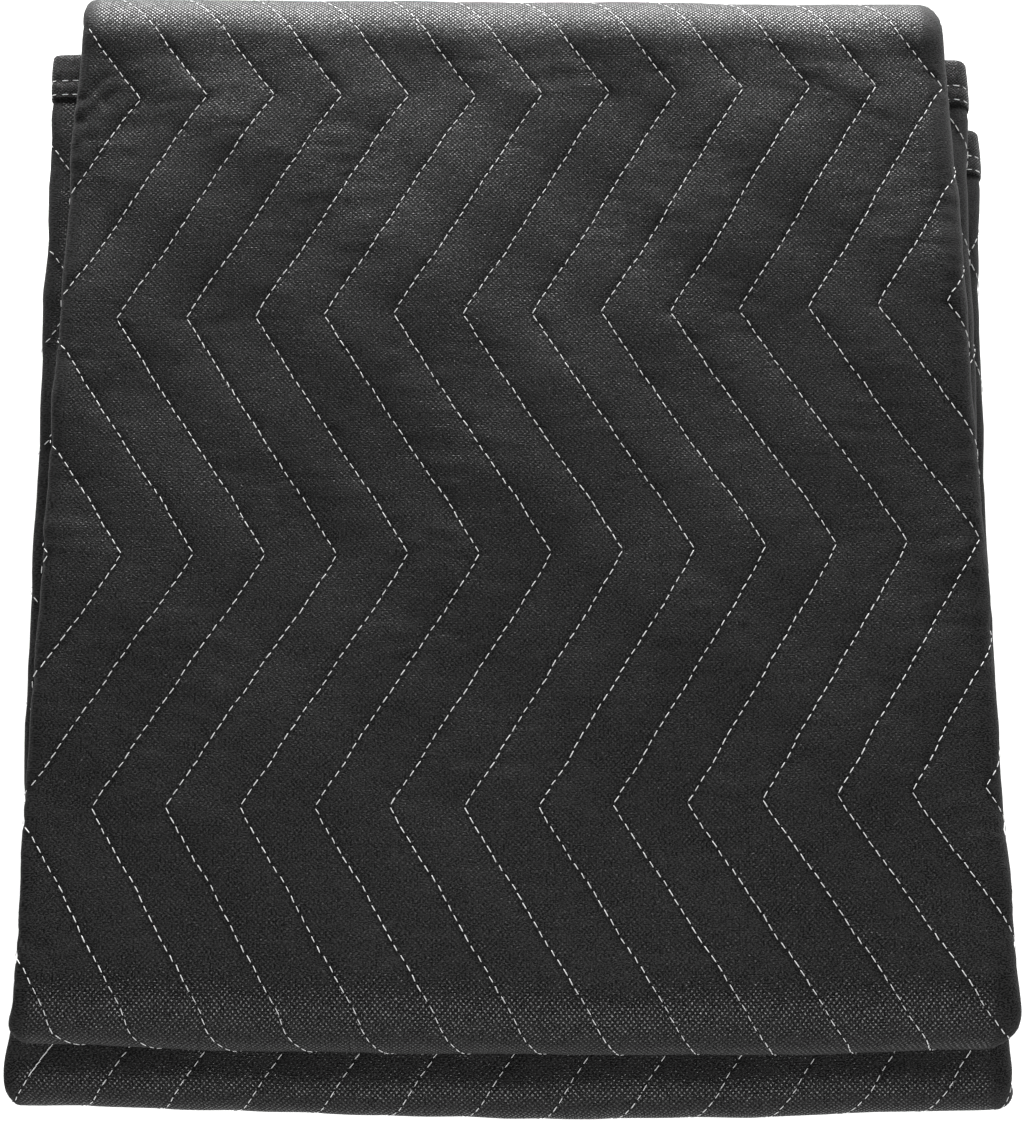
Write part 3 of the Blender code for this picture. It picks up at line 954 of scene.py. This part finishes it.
# stitches, set along their rows by Geometry Nodes
stitching = {
    "pitch": 4.85 * mm,
    "length": 3.45 * mm,
    "width": 0.52 * mm,
    "thickness": 0.42 * mm,
    "blunt": 0.6,  # how much fuller its ends are than a ball's
    "facets": 6,
    "proud": 0.08 * mm,
    "proudUnderneath": 0.3 * mm,
    "sunkInTape": 0.1 * mm,
    "slant": 0.03,  # each stitch leans out of its row
    "unevenness": 0.09,
    "stray": 0.14 * mm,
    "smallest": 0.88,
    "largest": 1.1,
    "seed": 7,  # of the sizes
    "straySeed": 11,
    "looks": 28,  # how often a row is looked at between two corners
    "underBack": 0.35,  # the share of the back fold that is sewn with the underside
    "sideMargin": 16 * mm,
}


def stitchTree():
    tree = bpy.data.node_groups.new("stitches", "GeometryNodeTree")
    sockets = tree.interface
    sockets.new_socket("Geometry", in_out="INPUT", socket_type="NodeSocketGeometry")
    for name, value in (("Length", stitching["length"]), ("Width", stitching["width"]),
                        ("Thickness", stitching["thickness"])):
        sockets.new_socket(name, in_out="INPUT", socket_type="NodeSocketFloat").default_value = value
    seed = sockets.new_socket("Seed", in_out="INPUT", socket_type="NodeSocketInt")
    seed.default_value = stitching["seed"]
    sockets.new_socket("Thread", in_out="INPUT", socket_type="NodeSocketMaterial")
    sockets.new_socket("Geometry", in_out="OUTPUT", socket_type="NodeSocketGeometry")
    given = tree.nodes.new("NodeGroupInput").outputs
    result = tree.nodes.new("NodeGroupOutput")
    facets, blunt = stitching["facets"], stitching["blunt"]
    ball = addNode(tree, "GeometryNodeMeshUVSphere", Segments=facets, Rings=facets,
                   Radius=0.5).outputs["Mesh"]
    position = addNode(tree, "GeometryNodeInputPosition").outputs[0]
    split = addNode(tree, "ShaderNodeSeparateXYZ", i0=position).outputs
    square = maths(tree, "MULTIPLY", split[0], split[0])
    stretch = maths(tree, "MULTIPLY_ADD", square, -4 * blunt, 1 + blunt)
    longer = maths(tree, "MULTIPLY", split[0], stretch)
    moved = addNode(tree, "ShaderNodeCombineXYZ", X=longer, Y=split[1], Z=split[2]).outputs[0]
    ball = addNode(tree, "GeometryNodeSetPosition", Geometry=ball, Position=moved).outputs[0]
    size = addNode(tree, "ShaderNodeCombineXYZ", X=given["Length"], Y=given["Width"],
                   Z=given["Thickness"]).outputs[0]
    along, up = (addNode(tree, "GeometryNodeInputNamedAttribute", {"data_type": "FLOAT_VECTOR"},
                         Name=name).outputs[0] for name in ("along", "up"))
    lie = addNode(tree, "FunctionNodeAlignRotationToVector", {"axis": "X"}, Vector=along).outputs[0]
    lie = addNode(tree, "FunctionNodeAlignRotationToVector", {"axis": "Z", "pivot_axis": "X"},
                  Rotation=lie, Vector=up).outputs[0]
    spread = tree.nodes.new("FunctionNodeRandomValue")
    spread.data_type = "FLOAT"
    spread.inputs[2].default_value = stitching["smallest"]
    spread.inputs[3].default_value = stitching["largest"]
    tree.links.new(given["Seed"], spread.inputs["Seed"])
    scaled = vectorMaths(tree, "SCALE", size, Scale=spread.outputs[1])
    placed = addNode(tree, "GeometryNodeInstanceOnPoints", Points=given["Geometry"], Instance=ball,
                     Rotation=lie, Scale=scaled).outputs[0]
    real = addNode(tree, "GeometryNodeRealizeInstances", Geometry=placed).outputs[0]
    soft = addNode(tree, "GeometryNodeSetShadeSmooth", Geometry=real).outputs[0]
    dyed = addNode(tree, "GeometryNodeSetMaterial", Geometry=soft, Material=given["Thread"]).outputs[0]
    tree.links.new(dyed, result.inputs[0])
    return tree


stitchNodes = stitchTree()


def sew(name, runs, heightOf, wobbly=False, proud=stitching["proud"]):
    # runs are straight lines in (u, v)
    u, v, du, dv = [], [], [], []
    rng = np.random.default_rng(stitching["straySeed"])
    for (u0, v0), (u1, v1) in runs:
        length = math.hypot(u1 - u0, v1 - v0)
        count = max(1, round(length / stitching["pitch"]))
        for k in range(count):
            share = (k + 0.5) / count
            slant = stitching["slant"] + stitching["unevenness"] * rng.uniform(-1, 1)
            alongU, alongV = (u1 - u0) / length, (v1 - v0) / length
            u.append(u0 + (u1 - u0) * share + alongV * rng.uniform(-1, 1) * stitching["stray"])
            v.append(v0 + (v1 - v0) * share)
            du.append(alongU - alongV * slant)
            dv.append(alongV + alongU * slant)
    u, v, du, dv = (np.array(a) for a in (u, v, du, dv))
    if wobbly:
        u = u + wobbleAt(v)
        v = padV(u, v)
        dv = dv + q["lean"] * du
    n = heightOf(u, v)
    side = np.sign(n)
    step = 0.8 * mm
    middle = foldPad(u, v, n + side * proud)
    middle[:, 2] = np.maximum(middle[:, 2], stitching["thickness"] / 2)
    along = foldPad(u + du * step, v + dv * step, n) - foldPad(u - du * step, v - dv * step, n)
    up = foldPad(u, v, n + side * 1 * mm) - foldPad(u, v, n)
    mesh = bpy.data.meshes.new(name)
    mesh.from_pydata(middle.tolist(), [], [])
    for key, values in (("along", along), ("up", up)):
        unit = values / np.linalg.norm(values, axis=1)[:, None]
        mesh.attributes.new(key, "FLOAT_VECTOR", "POINT").data.foreach_set("vector", unit.ravel())
    obj = bpy.data.objects.new(name, mesh)
    scene.collection.objects.link(obj)
    modifier = obj.modifiers.new("stitches", "NODES")
    modifier.node_group = stitchNodes
    for item in stitchNodes.interface.items_tree:
        if item.in_out == "INPUT" and item.name == "Thread":
            modifier[item.identifier] = threadGrey
    solid = bpy.data.meshes.new_from_object(obj.evaluated_get(bpy.context.evaluated_depsgraph_get()))
    obj.modifiers.remove(modifier)
    obj.data = solid
    print(name, len(u), "stitches")
    return obj


def zigzagRuns(shown):
    # each row of quilting, cut to where shown(u, v) says that it can be seen
    runs, looks = [], stitching["looks"]
    for lower, upper in zip(corners, corners[1:]):
        low, high = lower[0], upper[0]
        for k in range(-30, 40):
            u0, u1 = lineAtCorners(lower, k), lineAtCorners(upper, k)
            halves = [(u0 + (u1 - u0) * s / looks, low + (high - low) * s / looks)
                      for s in shareOut(0, looks, 2 * looks)]
            seen = [shown(*place) for place in halves[1::2]]
            start = None
            for s, inside in enumerate([*seen, False]):
                if inside and start is None:
                    start = s
                elif start is not None and not inside:
                    runs.append((halves[2 * start], halves[2 * s]))
                    start = None
    return runs


def within(v, name, low=0.0, high=1.0):
    return placeAt(name, low) <= v <= placeAt(name, high)


def onTop(u, v):
    shown = within(v, "lowTuck", frontOfLowTuck) or within(v, "back", stitching["underBack"])
    shown = shown or any(within(v, name) for name in ("lowFront", "top", "highFront"))
    return shown and outerLeft < u < outerRight


def onBase(u, v):
    shown = within(v, "base") or within(v, "back", 0, stitching["underBack"])
    return shown and outerLeft < u < outerRight


def onSides(u, v):
    # near the strip's two long sides, where the layers' own folds and edges show
    margin = stitching["sideMargin"]
    tucked = within(v, "lowTuck") or within(v, "highTuck")
    inside = edgeZone < v < cutLength - edgeZone
    beside = abs(u - outerRight) < margin or farCrease - margin < u < farCrease + thinFold
    ownEdge = outerLeft < u < f["leftCrease"] + margin or f["rightCrease"] - margin < u < outerRight
    return inside and ((beside and u > outerRight) or (tucked and ownEdge))


def padHeight(u, v):
    return faceHeight(u, v, False)


def tapeRuns(atV):
    runs = []
    for row in binding["stitchRows"]:
        v = cutLength - row if atV else row
        runs.append(((outerLeft, v), (farCrease + thinFold, v)))
    return runs


def tapeHeight(u, v):
    top = binding["pressed"] / 2 + binding["clearance"] + binding["tape"]
    return np.full(len(u), top - stitching["sunkInTape"])


topStitches = sew("quiltingOnTop", zigzagRuns(onTop), padHeight, True)
baseStitches = sew("quiltingUnderneath", zigzagRuns(onBase), padHeight, True,
                   stitching["proudUnderneath"])
sideStitches = sew("quiltingAtSides", zigzagRuns(onSides), padHeight, True)
lowTapeStitches = sew("sewingLowEnd", tapeRuns(False), tapeHeight)
highTapeStitches = sew("sewingHighEnd", tapeRuns(True), tapeHeight)
padStitches = [topStitches, baseStitches, sideStitches]
tapeStitches = [lowTapeStitches, highTapeStitches]


# floor and soft light
studio = {
    "floor": 0.86,
    "floorReach": 6,
    "floorDrop": 0.3 * mm,
    "world": 0.03,
    "glow": 0.36,  # a white table that is lit from below as well
    "lights": (  # name, place, size, power, aim
        ("backLow", (0.0, 2.0, 0.3), (2.6, 0.8), 300, (0, 0.1, 0.05)),
        ("frontHigh", (0.1, -1.7, 1.6), (2.1, 0.25), 66, (0, -0.25, 0.06)),
    ),
}


def addStudio(s):
    mesh = bpy.data.meshes.new("floor")
    r = s["floorReach"]
    mesh.from_pydata([(-r, -r, 0), (r, -r, 0), (r, r, 0), (-r, r, 0)], [], [(0, 1, 2, 3)])
    material, tree, shader = nodesOf("paleFloor")
    shader.inputs["Base Color"].default_value = grey(s["floor"])
    shader.inputs["Roughness"].default_value = 0.9
    shader.inputs["Emission Color"].default_value = grey(1.0)
    shader.inputs["Emission Strength"].default_value = s["glow"]
    floor = makeObject("floor", mesh, material)
    floor.location.z = -s["floorDrop"]
    world = bpy.data.worlds.new("softLight")
    world.use_nodes = True
    world.node_tree.nodes["Background"].inputs[0].default_value = grey(1.0)
    world.node_tree.nodes["Background"].inputs[1].default_value = s["world"]
    scene.world = world
    for name, place, area, power, aim in s["lights"]:
        data = bpy.data.lights.new(name, "AREA")
        data.shape = "RECTANGLE"
        data.size, data.size_y = area
        data.energy = power
        lamp = bpy.data.objects.new(name, data)
        scene.collection.objects.link(lamp)
        lamp.location = place
        lamp.rotation_euler = (Vector(aim) - Vector(place)).to_track_quat("-Z", "Y").to_euler()
    return floor


floor = addStudio(studio)
scene.view_settings.view_transform = "Standard"

# what each piece stands for
for piece in [quiltedPad, *tapes, *padStitches, *tapeStitches]:
    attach(piece, "root")
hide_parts("pad")
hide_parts("binding_low_end")
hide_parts("binding_high_end")
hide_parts("binding_left_edge")
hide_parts("binding_right_edge")

print("pieces declared")
